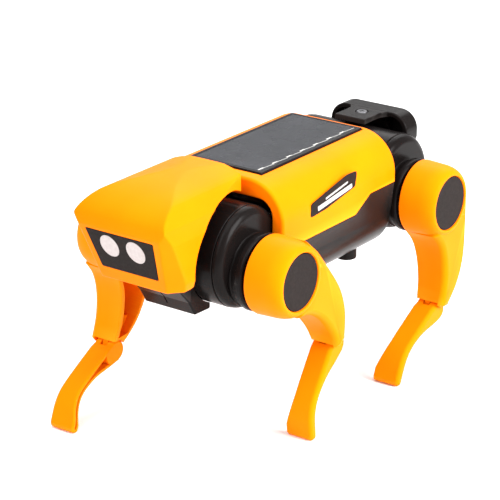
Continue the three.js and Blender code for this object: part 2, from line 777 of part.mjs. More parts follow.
function hubCap(side) {
  const r = HUB_CAP.radius;
  const x = HUB.outer;
  return turned([[x - 1.6, 0], [x - 1.6, r], [x - 0.4, r], [x - 0.4, 0]], side);
}

function hipScrew(side) {
  return rodX(3.1, side * 52.3, side * 54.2, 0, 0, 16).add(rodX(1, side * 46, side * 53, 0, 0, 12));
}

// Lowest point of the sole below the hip for a thigh angle and a knee bend, both in degrees.
function soleDrop(thighAngle, bend) {
  const t = rad(thighAngle);
  const s = rad(thighAngle + ZERO_BEND - bend);
  const knee = KNEE[0] * Math.sin(t) + KNEE[1] * Math.cos(t);
  const lowest = Math.min(...SHIN.map(([y, z]) => y * Math.sin(s) + z * Math.cos(s)));
  return -(knee + lowest);
}

// Knee bend at which the sole just touches the ground.
function standingBend(thighAngle) {
  let straight = 20;
  let bent = 75;
  for (let i = 0; i < 40; i += 1) {
    const middle = (straight + bent) / 2;
    if (soleDrop(thighAngle, middle) > HIP_HEIGHT) {
      straight = middle;
    } else {
      bent = middle;
    }
  }
  return bent;
}

function leg(spec) {
  const { name, side, end } = spec;
  const group = new THREE.Group();
  group.position.set(0, (end * WHEELBASE) / 2, 0);
  group.add(toMesh(`hip_shaft_${name}`, hipShaft(spec), gearWhite()));
  const swing = new THREE.Group();
  swing.rotation.x = rad(spec.thigh);
  swing.add(toMesh(`thigh_${name}`, thigh(side), yellow()));
  swing.add(toMesh(`hub_cap_${name}`, hubCap(side), badgeBlack()));
  swing.add(toMesh(`hip_screw_${name}`, hipScrew(side), steel()));
  const knee = new THREE.Group();
  knee.position.set(0, ...KNEE);
  knee.rotation.x = rad(ZERO_BEND - standingBend(spec.thigh));
  knee.add(toMesh(`shin_${name}`, shin(side), yellow()));
  knee.add(toMesh(`knee_pin_${name}`, kneePin(side), steel()));
  swing.add(knee);
  group.add(swing);
  return group;
}

// ---------------------------------------------------------------- assembly

function trunk() {
  const group = new THREE.Group();
  group.add(toMesh('upper_shell', upperShell(), yellow()));
  group.add(toMesh('lower_shell', lowerShell(), black()));
  BELLY_SCREWS.forEach((place, i) => {
    group.add(toMesh(`belly_screw_${i + 1}`, bellyScrew(place), steel()));
  });
  group.add(toMesh('solar_panel_frame', panelFrame(), black()));
  group.add(toMesh('solar_cell', panelCell(), cellBlue()));
  return group;
}

function podGroup(end, word) {
  const group = new THREE.Group();
  group.position.y = (end * WHEELBASE) / 2;
  group.add(toMesh(`${word}_pod`, pod(end), black()));
  group.add(toMesh(`${word}_pod_cap_left`, podCap(1), black()));
  group.add(toMesh(`${word}_pod_cap_right`, podCap(-1), black()));
  return group;
}

function headGroup() {
  const group = new THREE.Group();
  group.position.y = -WHEELBASE / 2;
  group.add(toMesh('head_shell', headShell(), yellow()));
  group.add(toMesh('eye_plate', eyePlate(), badgeBlack()));
  group.add(toMesh('eye_left', eye(EYE_X), eyeWhite()));
  group.add(toMesh('eye_right', eye(-EYE_X), eyeWhite()));
  group.add(toMesh('neck_mount', neckMount(), black()));
  return group;
}

function hoodGroup() {
  const group = new THREE.Group();
  group.position.y = WHEELBASE / 2;
  group.add(toMesh('rear_hood', rearHood(), black()));
  group.add(toMesh('hood_screw', hoodScrew(), steel()));
  return group;
}

function drive() {
  const group = new THREE.Group();
  const phase = phases();
  group.add(toMesh('gearbox_plate_left', gearboxPlate(1), black()));
  group.add(toMesh('gearbox_plate_right', gearboxPlate(-1), black()));
  group.add(toMesh('first_gear_arbor', arbor(FIRST_AXIS), steel()));
  group.add(toMesh('second_gear_arbor', arbor(SECOND_AXIS), steel()));
  group.add(toMesh('motor', motor(), steel()));
  group.add(toMesh('motor_pinion', motorPinion(phase.motor), gearWhite()));
  const first = compoundGear(FIRST_AXIS, phase.first, [12.2, 14.2], [9.4, 12.3]);
  group.add(toMesh('first_gear', first, gearWhite()));
  const second = compoundGear(SECOND_AXIS, phase.second, [9.6, 11.6], [6.8, 9.7]);
  group.add(toMesh('second_gear', second, gearWhite()));
  group.add(toMesh('crank_shaft', crankShaft(), gearWhite()));
  group.add(toMesh('crank_disc_right', crankDisc(-1), gearWhite()));
  group.add(toMesh('panel_wire', panelWire(), wireRed()));
  return group;
}

const robot = new THREE.Group();
robot.position.set(0, BODY_Y, HIP_HEIGHT);
robot.add(trunk(), headGroup(), hoodGroup(), drive(), podGroup(-1, 'front'), podGroup(1, 'rear'));
for (const spec of LEGS) {
  robot.add(leg(spec));
  robot.add(toMesh(`connecting_rod_${spec.name}`, connectingRod(spec), gearWhite()));
}
robot.updateMatrixWorld(true);

export default robot;
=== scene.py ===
import json
import math

import bmesh
import bpy
from mathutils import Matrix, Vector
from mathutils.geometry import tessellate_polygon


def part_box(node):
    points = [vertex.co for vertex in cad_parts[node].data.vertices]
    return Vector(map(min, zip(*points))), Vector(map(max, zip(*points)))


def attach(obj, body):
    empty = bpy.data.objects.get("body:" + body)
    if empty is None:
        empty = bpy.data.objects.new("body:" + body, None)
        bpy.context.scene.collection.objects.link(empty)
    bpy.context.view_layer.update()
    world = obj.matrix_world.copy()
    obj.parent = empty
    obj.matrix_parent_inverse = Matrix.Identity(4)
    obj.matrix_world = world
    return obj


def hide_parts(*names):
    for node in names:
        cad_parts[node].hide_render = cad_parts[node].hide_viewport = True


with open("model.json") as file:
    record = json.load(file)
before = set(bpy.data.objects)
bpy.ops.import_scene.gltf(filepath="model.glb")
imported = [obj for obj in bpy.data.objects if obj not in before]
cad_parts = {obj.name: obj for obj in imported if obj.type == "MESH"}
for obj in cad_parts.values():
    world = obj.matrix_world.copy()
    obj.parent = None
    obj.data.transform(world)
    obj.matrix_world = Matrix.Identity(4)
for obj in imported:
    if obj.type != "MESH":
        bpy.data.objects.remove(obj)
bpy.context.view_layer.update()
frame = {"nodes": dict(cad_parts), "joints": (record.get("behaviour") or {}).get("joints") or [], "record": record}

# Looks of the four-legged solar robot. Shapes are drawn in millimetres and stored in metres.
# The head points to -Y, +X is the robot's own left-hand side and +Z is up.

MM = 0.001


def centre(node):
    low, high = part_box(node)
    return (low + high) / (2 * MM)


def side_of(name):
    return 1 if name.endswith("left") else -1


# ---------------------------------------------------------------- places, from the frame

FRONT_HIP = centre("hub_cap_front_left")
REAR_HIP = centre("hub_cap_rear_left")
HIP_Z = FRONT_HIP.z
TRUNK = (FRONT_HIP + REAR_HIP) / 2
LEGS = ("front_left", "front_right", "rear_left", "rear_right")
JOINTS = {joint["name"]: joint for joint in frame["joints"]}

SHELL_LOW, SHELL_HIGH = (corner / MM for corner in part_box("upper_shell"))
BODY_HALF = SHELL_HIGH.x
BODY_FRONT = SHELL_LOW.y - TRUNK.y
BODY_REAR = SHELL_HIGH.y - TRUNK.y
BODY_TOP = SHELL_HIGH.z - HIP_Z
BODY_BOTTOM = -22
SHOULDER_RADIUS = 18.6
BELLY_RADIUS = 19
BELLY_HALF = 34.7
WALL = 2.2
CEILING = 4
SEAM_LOW = 5.2
SEAM_HIGH = 12
SEAM_RAMP = (10, 22)
SEAM_GAP = 0.3
TONGUE_HALF = 23.5
TONGUE_LOW = -17.2
TONGUE_HIGH = -14.6

POD_Z = 5
POD_RADIUS = 22.9
POD_HALF = 25.4
POD_WALL = 2.4
POD_CLEARANCE = 0.3
CAP_FACE = 30
CAP_EDGE = 4
SHAFT_BORE = 4.2
NECK_RADIUS = 15.8
NECK_END = 33.4
COLLAR_RADIUS = 17.4
COLLAR_END = 37

HUB_RADIUS = 17.8
HUB_FACE = 13.7
HUB_INNER = 38.5
HUB_OUTER = 56.3
HUB_EDGE = 9
HUB_FLOOR = HUB_OUTER - 4
HUB_ROOM = 15.4
DISC_RADIUS = 12.7
DISC_GAP = 0.3
DISC_SEAT = HUB_OUTER - 2
POST_RADIUS = 7.5
THIGH_OUTER = 55.6
THIGH_WALL = 2.3
SHIN_INNER = 41.5
SHIN_OUTER = 52.3
SHIN_WALL = 1.7
INBOARD = 30  # nearer the trunk than any piece of a leg
OUTBOARD = 60  # further out than any piece of a leg
KNEE_DROP = 55.5
KNUCKLE = 4.9
KNEE_GAP = 0.45
KNEE_TONGUE = (45.2, 48.2)
TONGUE_RADIUS = 3.4
PIN_RADIUS = 1.4
PIN_SPAN = (41.9, 50.6)
ZERO_BEND = 50
MOST_BEND = 64

SCREW_HEAD = 2.7
SCREW_HOLE = 1.6


# ---------------------------------------------------------------- outlines

def arc(cu, cv, radius, start, end, steps):
    """Points of an arc, with its angles in degrees."""
    angles = [math.radians(start + (end - start) * i / steps) for i in range(steps + 1)]
    return [(cu + radius * math.cos(t), cv + radius * math.sin(t)) for t in angles]


def curve(points, steps):
    """Smooth curve through the points, sampled in equal steps."""
    found = []
    spans = len(points) - 1
    for i in range(steps + 1):
        place = spans * i / steps
        k = min(int(place), spans - 1)
        t = place - k
        p0, p1 = points[max(k - 1, 0)], points[k]
        p2, p3 = points[k + 1], points[min(k + 2, spans)]
        point = []
        for a, b, c, d in zip(p0, p1, p2, p3):
            v0, v1 = (c - a) / 2, (d - b) / 2
            point.append(
                (2 * b - 2 * c + v0 + v1) * t ** 3 + (3 * c - 3 * b - 2 * v0 - v1) * t ** 2
                + v0 * t + b
            )
        found.append(tuple(point))
    return found


def share_of(value, start, end):
    """How far a value is between start and end: 0 before it, 1 beyond it."""
    return min(1, max(0, (value - start) / (end - start)))


def mirrored(half):
    """Half an outline, then its mirror image walked back."""
    return list(half) + [(-u, v) for u, v in reversed(half)]


def turning(points):
    """Points in anticlockwise order."""
    area = sum(p[0] * q[1] - q[0] * p[1] for p, q in zip(points, points[1:] + points[:1]))
    return list(points) if area > 0 else list(reversed(points))


def inset(points, depth):
    """Anticlockwise outline moved inwards."""
    n = len(points)
    moved = []
    for i in range(n):
        before, here, after = points[i - 1], points[i], points[(i + 1) % n]
        e1 = Vector((here[0] - before[0], here[1] - before[1])).normalized()
        e2 = Vector((after[0] - here[0], after[1] - here[1])).normalized()
        n1, n2 = Vector((-e1.y, e1.x)), Vector((-e2.y, e2.x))
        middle = n1 + n2
        share = depth / max(0.35, 1 + n1.dot(n2))
        moved.append((here[0] + middle.x * share, here[1] + middle.y * share))
    return moved


def rounded(points, radius):
    """Outline with every corner rounded by the same radius, or less where a side is short."""
    n, steps = len(points), 5
    found = []
    for i in range(n):
        here = Vector(points[i])
        back = Vector(points[i - 1]) - here
        ahead = Vector(points[(i + 1) % n]) - here
        angle = back.angle(ahead)
        reach = min(radius / math.tan(angle / 2), back.length * 0.48, ahead.length * 0.48)
        a, b = here + back.normalized() * reach, here + ahead.normalized() * reach
        for k in range(steps + 1):
            t = k / steps
            found.append(tuple((1 - t) ** 2 * a + 2 * t * (1 - t) * here + t ** 2 * b))
    return found


def fillet(radius, steps):
    """(distance from the end, inset) of each ring along a rounded edge, end face first."""
    angles = [math.pi / 2 * i / steps for i in range(steps + 1)]
    return [(radius * (1 - math.sin(t)), radius * (1 - math.cos(t))) for t in reversed(angles)]


# ---------------------------------------------------------------- meshes

def make(name, verts, faces):
    mesh = bpy.data.meshes.new(name)
    mesh.from_pydata([Vector(v) * MM for v in verts], [], faces)
    obj = bpy.data.objects.new(name, mesh)
    bpy.context.scene.collection.objects.link(obj)
    edit(obj, face_outwards)
    return obj


def face_outwards(bm):
    """Splits faces with more than four corners, then turns every face outwards."""
    bmesh.ops.triangulate(bm, faces=[face for face in bm.faces if len(face.verts) > 4])
    bmesh.ops.recalc_face_normals(bm, faces=bm.faces)
    if bm.calc_volume(signed=True) < 0:
        bmesh.ops.reverse_faces(bm, faces=bm.faces)


def edit(obj, change):
    bm = bmesh.new()
    bm.from_mesh(obj.data)
    change(bm)
    bm.to_mesh(obj.data)
    bm.free()
    obj.data.update()


def loft(name, rings, closed=False):
    """Closed solid through rings of points; its ends are capped, or joined when closed."""
    n = len(rings[0])
    verts = [p for ring in rings for p in ring]
    faces = []
    for r in range(len(rings) if closed else len(rings) - 1):
        a, b = r * n, ((r + 1) % len(rings)) * n
        faces += [(a + i, a + (i + 1) % n, b + (i + 1) % n, b + i) for i in range(n)]
    if not closed:
        faces += [tuple(range(n)), tuple(reversed(range((len(rings) - 1) * n, len(rings) * n)))]
    return make(name, verts, faces)


def slab(name, outline, place, start, end, edge_start=0.0, edge_end=0.0, steps=5):
    """Outline drawn in a plane, from start to end across it, with rounded edges at either end."""
    outline = turning(outline)
    sign = math.copysign(1, end - start)
    first = fillet(edge_start, steps) if edge_start else [(0, 0)]
    last = fillet(edge_end, steps) if edge_end else [(0, 0)]
    levels = [(start + sign * s, d) for s, d in first]
    levels += [(end - sign * s, d) for s, d in reversed(last)]
    return loft(name, [[place(u, v, w) for u, v in inset(outline, d)] for w, d in levels])


def across_x(u, v, w):
    return (w, u, v)


def across_y(u, v, w):
    return (u, w, v)


def across_z(u, v, w):
    return (u, v, w)


def lathe(name, profile, side=1):
    """Closed profile of (x, radius) points turned about the X axis."""
    rings, segments = [], 96
    for k in range(segments):
        t = 2 * math.pi * k / segments
        rings.append([(side * x, r * math.cos(t), r * math.sin(t)) for x, r in profile])
    obj = loft(name, rings, closed=True)
    edit(obj, lambda bm: bmesh.ops.remove_doubles(bm, verts=bm.verts, dist=1e-7))
    edit(obj, lambda bm: bmesh.ops.dissolve_degenerate(bm, dist=1e-7, edges=bm.edges))
    return obj


def block(name, xs, ys, zs):
    outline = [(xs[0], ys[0]), (xs[1], ys[0]), (xs[1], ys[1]), (xs[0], ys[1])]
    return slab(name, outline, across_z, *zs)


def rod(name, radius, start, end, place, u=0.0, v=0.0, segments=48, edge=0.0):
    outline = arc(u, v, radius, 0, 360 - 360 / segments, segments - 1)
    return slab(name, outline, place, start, end, edge, edge, 3)


def shift(obj, offset):
    obj.data.transform(Matrix.Translation(Vector(offset) * MM))
    return obj


def turn(obj, degrees):
    obj.data.transform(Matrix.Rotation(math.radians(degrees), 4, "X"))
    return obj


def baked(obj):
    """Applies the modifiers of an object to its mesh."""
    bpy.context.view_layer.update()
    seen = obj.evaluated_get(bpy.context.evaluated_depsgraph_get())
    mesh = bpy.data.meshes.new_from_object(seen)
    old = obj.data
    obj.modifiers.clear()
    obj.data = mesh
    bpy.data.meshes.remove(old)
    return obj


def combine(obj, other, operation):
    modifier = obj.modifiers.new("combine", "BOOLEAN")
    modifier.operation = operation
    modifier.solver = "MANIFOLD"
    modifier.object = other
    baked(obj)
    bpy.data.objects.remove(other)
    return obj


def cut(obj, *tools):
    for tool in tools:
        combine(obj, tool, "DIFFERENCE")
    return obj


def join(obj, *others):
    for other in others:
        combine(obj, other, "UNION")
    return obj


def keep(obj, other):
    return combine(obj, other, "INTERSECT")


def softened(obj, voxel, rounds):
    """Rounds every edge of a closed form: a fine remesh, then smoothing."""
    remesh = obj.modifiers.new("remesh", "REMESH")
    remesh.mode = "VOXEL"
    remesh.voxel_size = voxel * MM
    smooth = obj.modifiers.new("smooth", "SMOOTH")
    smooth.factor = 0.5
    smooth.iterations = rounds
    return baked(obj)


def finished(obj, angle=32):
    """Smooth shading with sharp creases, and flat faces that stay flat."""
    obj.data.shade_smooth()
    obj.data.set_sharp_from_angle(angle=math.radians(angle))
    weighted = obj.modifiers.new("weighted", "WEIGHTED_NORMAL")
    weighted.keep_sharp = True
    return baked(obj)


# ---------------------------------------------------------------- materials

class Look:
    """A node material with a principled shader and short ways to add to it."""

    def __init__(self, name):
        self.material = bpy.data.materials.new(name)
        self.material.use_nodes = True
        self.nodes = self.material.node_tree.nodes
        self.links = self.material.node_tree.links
        self.shader = self.nodes["Principled BSDF"]
        self.place = self.nodes.new("ShaderNodeTexCoord").outputs["Object"]

    def noise(self, scale, detail=3.0, roughness=0.5):
        node = self.nodes.new("ShaderNodeTexNoise")
        node.inputs["Scale"].default_value = scale
        node.inputs["Detail"].default_value = detail
        node.inputs["Roughness"].default_value = roughness
        self.links.new(self.place, node.inputs["Vector"])
        return node.outputs["Fac"]

    def stretched(self, scales):
        node = self.nodes.new("ShaderNodeMapping")
        node.inputs["Scale"].default_value = scales
        self.links.new(self.place, node.inputs["Vector"])
        return node.outputs["Vector"]

    def ramp(self, source, stops):
        node = self.nodes.new("ShaderNodeValToRGB")
        elements = node.color_ramp.elements
        while len(elements) < len(stops):
            elements.new(0.5)
        for element, (position, color) in zip(elements, stops):
            element.position = position
            element.color = (*color, 1)
        self.links.new(source, node.inputs["Fac"])
        return node.outputs["Color"]

    def mottled(self, source, dark, light, low=0.3, high=0.7):
        """Colour that drifts between two tones."""
        return self.ramp(source, [(low, dark), (high, light)])

    def spread(self, source, low, high):
        node = self.nodes.new("ShaderNodeMapRange")
        node.inputs["To Min"].default_value = low
        node.inputs["To Max"].default_value = high
        self.links.new(source, node.inputs["Value"])
        return node.outputs["Result"]

    def mixed(self, factor, first, second):
        node = self.nodes.new("ShaderNodeMix")
        node.data_type = "RGBA"
        for socket, value in ((node.inputs["Factor"], factor), (node.inputs["A"], first),
                              (node.inputs["B"], second)):
            if isinstance(value, bpy.types.NodeSocket):
                self.links.new(value, socket)
            else:
                socket.default_value = value
        return node.outputs["Result"]

    def edges(self, low, high):
        """1 on worn convex edges, 0 elsewhere."""
        node = self.nodes.new("ShaderNodeNewGeometry")
        return self.ramp(node.outputs["Pointiness"], [(low, (0, 0, 0)), (high, (1, 1, 1))])

    def bump(self, source, distance, strength=1.0):
        node = self.nodes.new("ShaderNodeBump")
        node.inputs["Distance"].default_value = distance
        node.inputs["Strength"].default_value = strength
        if self.shader.inputs["Normal"].is_linked:
            self.links.new(self.shader.inputs["Normal"].links[0].from_socket, node.inputs["Normal"])
        self.links.new(source, node.inputs["Height"])
        self.links.new(node.outputs["Normal"], self.shader.inputs["Normal"])

    def set(self, **values):
        for name, value in values.items():
            socket = self.shader.inputs[name.replace("_", " ")]
            if isinstance(value, bpy.types.NodeSocket):
                self.links.new(value, socket)
            else:
                socket.default_value = value
        return self


def moulded_plastic(name, deep, base, worn, roughness):
    """Injection-moulded plastic: slight colour drift, fine texture, rubbed edges, faint scuffs."""
    look = Look(name)
    drift = look.mottled(look.noise(26, 4), deep, base)
    rubbed = look.mixed(look.edges(0.53, 0.62), drift, (*worn, 1))
    scuffs = look.noise(420, 5, 0.65)
    look.set(Base_Color=rubbed, Roughness=look.spread(scuffs, *roughness))
    look.bump(look.noise(1900, 3), 0.00004, 0.35)
    look.bump(look.noise(38, 2), 0.0006, 0.06)
    return look


def yellow_look():
    deep, base, worn = (0.90, 0.18, 0.0008), (0.97, 0.21, 0.001), (1.0, 0.3, 0.01)
    look = moulded_plastic("yellow_abs", deep, base, worn, (0.34, 0.46))
    return look.set(IOR=1.5, Specular_IOR_Level=0.04, Specular_Tint=(1, 0.6, 0.05, 1)).material


def black_look():
    deep, base, worn = (0.005, 0.0038, 0.0036), (0.0075, 0.006, 0.0057), (0.02, 0.017, 0.016)
    look = moulded_plastic("black_abs", deep, base, worn, (0.2, 0.3))
    return look.set(IOR=1.5, Specular_IOR_Level=0.06).material


def sticker_look():
    """Matt printed film with a faint grain."""
    look = Look("printed_film")
    dark, light = (0.011, 0.008, 0.0072), (0.016, 0.0115, 0.0105)
    look.set(
        Base_Color=look.mottled(look.noise(900, 2), dark, light, 0.35, 0.65),
        Roughness=look.spread(look.noise(300, 3), 0.5, 0.62), Specular_IOR_Level=0.06,
    )
    look.bump(look.noise(1400, 2), 0.00003, 0.4)
    return look.material


def eye_look():
    look = Look("eye_print")
    tint = look.mottled(look.noise(700, 3), (0.42, 0.36, 0.35), (0.48, 0.43, 0.42))
    look.set(Base_Color=tint, Roughness=look.spread(look.noise(240, 2), 0.5, 0.62))
    look.bump(look.noise(1400, 2), 0.00003, 0.4)
    return look.material


def print_look():
    look = Look("light_print")
    tint = look.mottled(look.noise(800, 2), (0.36, 0.35, 0.34), (0.42, 0.41, 0.4))
    return look.set(Base_Color=tint, Roughness=look.spread(look.noise(240, 2), 0.45, 0.6)).material


def cell_look():
    """Dark silicon under clear resin, with fine grid lines and dusty smears."""
    look = Look("solar_cell")
    wave = look.nodes.new("ShaderNodeTexWave")
    wave.bands_direction = "Y"
    wave.inputs["Scale"].default_value = 190
    look.links.new(look.place, wave.inputs["Vector"])
    silicon = look.mottled(look.noise(60, 3), (0.012, 0.013, 0.016), (0.024, 0.025, 0.03))
    fingers = look.ramp(wave.outputs["Fac"], [(0.93, (0, 0, 0)), (0.99, (0.35, 0.35, 0.35))])
    look.set(
        Base_Color=look.mixed(fingers, silicon, (0.07, 0.07, 0.075, 1)),
        Roughness=look.spread(look.noise(75, 4), 0.2, 0.34),
        Coat_Weight=0.06, Coat_Roughness=0.16, IOR=1.5, Specular_IOR_Level=0.06,
    )
    look.bump(look.noise(30, 2), 0.0004, 0.08)
    return look.material


def tab_look():
    look = Look("solder_tab")
    tint = look.mottled(look.noise(900, 3), (0.55, 0.54, 0.5), (0.82, 0.81, 0.77))
    look.set(Base_Color=tint, Roughness=look.spread(look.noise(500, 3), 0.28, 0.5), Metallic=0.7)
    look.bump(look.noise(700, 3), 0.00005, 0.6)
    return look.material


def nylon_look():
    look = Look("natural_nylon")
    tint = look.mottled(look.noise(60, 3), (0.72, 0.69, 0.6), (0.84, 0.82, 0.75))
    look.set(Base_Color=tint, Roughness=look.spread(look.noise(300, 4), 0.4, 0.55))
    look.bump(look.noise(900, 3), 0.00004, 0.4)
    return look.material


def steel_look():
    look = Look("steel_darkened_as_painted_shade")
    brushed = look.nodes.new("ShaderNodeTexNoise")
    brushed.inputs["Scale"].default_value = 500
    look.links.new(look.stretched((1, 0.08, 1)), brushed.inputs["Vector"])
    # Painted shade: the steel's tint is kept very dark to stand for the shade that falls in the screw's recess,
    # not for a dark finish.
    tint = look.mottled(look.noise(200, 3), (0.1, 0.1, 0.105), (0.17, 0.17, 0.18))
    polish = look.spread(brushed.outputs["Fac"], 0.24, 0.42)
    look.set(Base_Color=tint, Metallic=1.0, Roughness=polish)
    look.bump(brushed.outputs["Fac"], 0.00003, 0.5)
    return look.material


def wire_look():
    look = Look("wire_skin")
    grain = look.mottled(look.noise(400, 3), (0.34, 0.015, 0.01), (0.5, 0.03, 0.02))
    look.set(Base_Color=grain, Roughness=look.spread(look.noise(250, 2), 0.4, 0.55))
    look.bump(look.noise(600, 2), 0.00004, 0.5)
    return look.material


LOOKS = {
    "yellow_shell": yellow_look(),
    "black_shell": black_look(),
    "matt_black": sticker_look(),
    "eye_white": eye_look(),
    "cell": cell_look(),
    "white_nylon": nylon_look(),
    "steel": steel_look(),
    "wire": wire_look(),
}
PRINT = print_look()
TAB = tab_look()


def dress(obj, slot, material=None):
    obj.data.materials.clear()
    obj.data.materials.append(material or LOOKS[slot])
    for polygon in obj.data.polygons:
        polygon.material_index = 0


def mount(obj, body, slot, *nodes, material=None):
    dress(obj, slot, material)
    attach(obj, body)
    if nodes:
        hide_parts(*nodes)


# ---------------------------------------------------------------- trunk shells

EDGE = 1.5  # rounding of the shells' end faces
THROAT = 11  # how far the full thickness of an end goes in
DOOR = {"half": 30.5, "upper": 26.6, "lower": -16.4, "corner": 7.5, "edge": 1.1}


def seam(y):
    """Height of the seam between the shells, which steps up towards the rear."""
    return SEAM_LOW + (SEAM_HIGH - SEAM_LOW) * share_of(y, *SEAM_RAMP)


def upper_ring(y, half, top, radius):
    start = seam(y) + SEAM_GAP / 2
    right = [(half, start), (half, (start + top - radius) / 2)]
    right += arc(half - radius, top - radius, radius, 0, 90, 20)
    return [(x, y, z) for x, z in mirrored(right)]


def lower_ring(y, half, belly_half, bottom, radius):
    start = seam(y) - SEAM_GAP / 2
    right = [(half, start)]
    right += arc(belly_half - radius, bottom + radius, radius, 0, -90, 20)
    return [(x, y, z) for x, z in mirrored(right)]


def shell_rings(ring, outer, door, hollow):
    """Rings of a shell from one end face to the other, outside, then back along its inside."""
    outside, inside = [], []
    for y, inwards in ((BODY_FRONT, 1), (BODY_REAR, -1)):
        door_edge = [(y + inwards * s, *door(-d)) for s, d in fillet(DOOR["edge"], 4)]
        outer_edge = [(y + inwards * s, *outer(d)) for s, d in fillet(EDGE, 5)]
        outside.append(door_edge[::-1] + outer_edge)
        deep = y + inwards * THROAT
        inside.append([(deep, *door(0)), (deep + inwards * 0.4, *hollow(0))])
    path = outside[0] + [(y, *outer(0)) for y in SEAM_RAMP] + outside[1][::-1]
    path += inside[1] + [(y, *hollow(0)) for y in reversed(SEAM_RAMP)] + inside[0][::-1]
    return [ring(*station) for station in path]


def open_shell(name, rings):
    """A shell whose rings are open at the seam: a strip from ring to ring, and two seam faces."""
    n = len(rings[0])
    verts = [p for ring in rings for p in ring]
    faces = []
    for r in range(len(rings)):
        a, b = r * n, ((r + 1) % len(rings)) * n
        faces += [(a + i, a + i + 1, b + i + 1, b + i) for i in range(n - 1)]
    for end in (0, n - 1):
        flat = [Vector((*ring[end][:2], 0)) for ring in rings]
        faces += [tuple(r * n + end for r in corner) for corner in tessellate_polygon([flat])]
    return make(name, verts, faces)


def collar_room():
    """What the hip collars need of the trunk's open ends."""
    rooms = []
    reach = BODY_HALF + 2
    for hip in (FRONT_HIP, REAR_HIP):
        room = rod("room", COLLAR_RADIUS + 0.8, -reach, reach, across_x, 0, 0, 72)
        rooms.append(shift(room, (0, hip.y - TRUNK.y, 0)))
    return rooms


def upper_shell():
    def outer(d):
        return BODY_HALF - d, BODY_TOP - d, SHOULDER_RADIUS - d

    def door(d):
        return DOOR["half"] - d, DOOR["upper"] - d, DOOR["corner"] - d

    def hollow(d):
        return BODY_HALF - WALL - d, BODY_TOP - CEILING - d, SHOULDER_RADIUS - WALL - d

    body = open_shell("trunk_cover", shell_rings(upper_ring, outer, door, hollow))
    low, high = (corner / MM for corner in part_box("solar_panel_frame"))
    gap, gap_below = 0.35, 0.3
    xs = (low.x - gap, high.x + gap)
    ys = (low.y - TRUNK.y - gap, high.y - TRUNK.y + gap)
    cut(body, block("seat", xs, ys, (low.z - HIP_Z - gap_below, BODY_TOP + 4)), *collar_room())
    shift(body, (0, TRUNK.y, HIP_Z))
    mount(finished(body), "chassis", "yellow_shell", "upper_shell")


BOSS_RADIUS = 5
BOSS_LOW = -24
BOSS_HIGH = -17.6
BOSS_SEAT_RADIUS = 3.1
BOSS_SEAT_FLOOR = -21.2


def lower_shell():
    def outer(d):
        return BODY_HALF - d, BELLY_HALF - d, BODY_BOTTOM + d, BELLY_RADIUS - d

    def door(d):
        return DOOR["half"] - d, DOOR["half"] - d, DOOR["lower"] + d, DOOR["corner"] - d

    def hollow(d):
        return outer(WALL + d)

    body = open_shell("belly_tub", shell_rings(lower_ring, outer, door, hollow))
    cut(body, *collar_room())
    for i in range(1, 5):
        place = centre(f"belly_screw_{i}") - Vector((0, TRUNK.y, 0))
        x, y = place.x, place.y
        outline = arc(x, y, BOSS_RADIUS, 0, 352.5, 47)
        join(body, slab("boss", outline, across_z, BOSS_LOW, BOSS_HIGH, 0.6, 0, 4))
        cut(body, rod("seat", BOSS_SEAT_RADIUS, BOSS_LOW - 2, BOSS_SEAT_FLOOR, across_z, x, y))
    shift(body, (0, TRUNK.y, HIP_Z))
    mount(finished(body), "chassis", "black_shell", "lower_shell")


def screw(name, node, root, face, x, y):
    """Upright pan-head screw: a disc with a rounded edge, a cross recess and a short shank."""
    sign = math.copysign(1, face - root)
    disc = rod(name, SCREW_HEAD, root, face, across_z, x, y, 48, 0.5)
    length, width, depth = SCREW_HEAD * 1.1, 0.6, 0.7
    for dx, dy in ((length / 2, width / 2), (width / 2, length / 2)):
        bar = [(x - dx, y - dy), (x + dx, y - dy), (x + dx, y + dy), (x - dx, y + dy)]
        cut(disc, slab("bar", bar, across_z, face - sign * depth, face + sign))
    shank = (SCREW_HEAD * 0.44, root - sign * 3, root + sign * 0.2)
    join(disc, rod("shank", *shank, across_z, x, y, 24))
    mount(finished(disc), "chassis", "steel", node)


def belly_screws():
    for i in range(1, 5):
        low, high = (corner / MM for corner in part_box(f"belly_screw_{i}"))
        x, y, _ = (low + high) / 2
        screw(f"belly_screw_head_{i}", f"belly_screw_{i}", low.z + 1.7, low.z, x, y)


# ---------------------------------------------------------------- solar panel

def solar_panel():
    low, high = (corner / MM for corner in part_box("solar_panel_frame"))
    rim, depth = 1.8, 1.4
    outline = [(low.x, low.y), (high.x, low.y), (high.x, high.y), (low.x, high.y)]
    tray = slab("panel_tray", rounded(outline, 1.0), across_z, low.z, high.z, 0, 0.5)
    well = inset(outline, rim)
    cut(tray, slab("well", rounded(well, 0.8), across_z, high.z - depth, high.z + 1))
    mount(finished(tray), "chassis", "black_shell", "solar_panel_frame")
    glass = rounded(inset(well, 0.15), 0.7)
    cell = slab("panel_cell", glass, across_z, high.z - depth + 0.1, high.z - 0.02, 0, 0.3)
    mount(finished(cell), "chassis", "cell", "solar_cell")
    solder_tabs(high)


def solder_tabs(panel_top):
    """The row of staggered solder tabs along the left edge, each a thick end and a thin wire."""
    tabs = 7
    row_start, row_end = TRUNK.y - 37.2, TRUNK.y + 36.8
    pitch = (row_end - row_start) / tabs
    x = panel_top.x - 3.6
    z = panel_top.z - 0.06
    root = z - 0.3
    for i in range(tabs):
        y = row_start + i * pitch
        tab_end, wire_start, wire_end = (y + pitch * share for share in (0.34, 0.2, 1.02))
        tab = [(x - 0.5, y), (x + 0.25, y + 0.1), (x + 0.4, tab_end), (x - 0.35, tab_end)]
        wire = [(x - 0.1, wire_start), (x + 0.15, wire_start), (x + 1.0, wire_end),
                (x + 0.72, wire_end)]
        piece = slab(f"solder_tab_{i + 1}", rounded(tab, 0.2), across_z, root, z + 0.12, 0, 0.08, 2)
        join(piece, slab("wire", wire, across_z, root, z + 0.07))
        mount(finished(piece), "chassis", "cell", material=TAB)


# ---------------------------------------------------------------- drums

def drum_room(name, radius, half, segments):
    return rod(name, radius, -half, half, across_x, 0, POD_Z, segments)


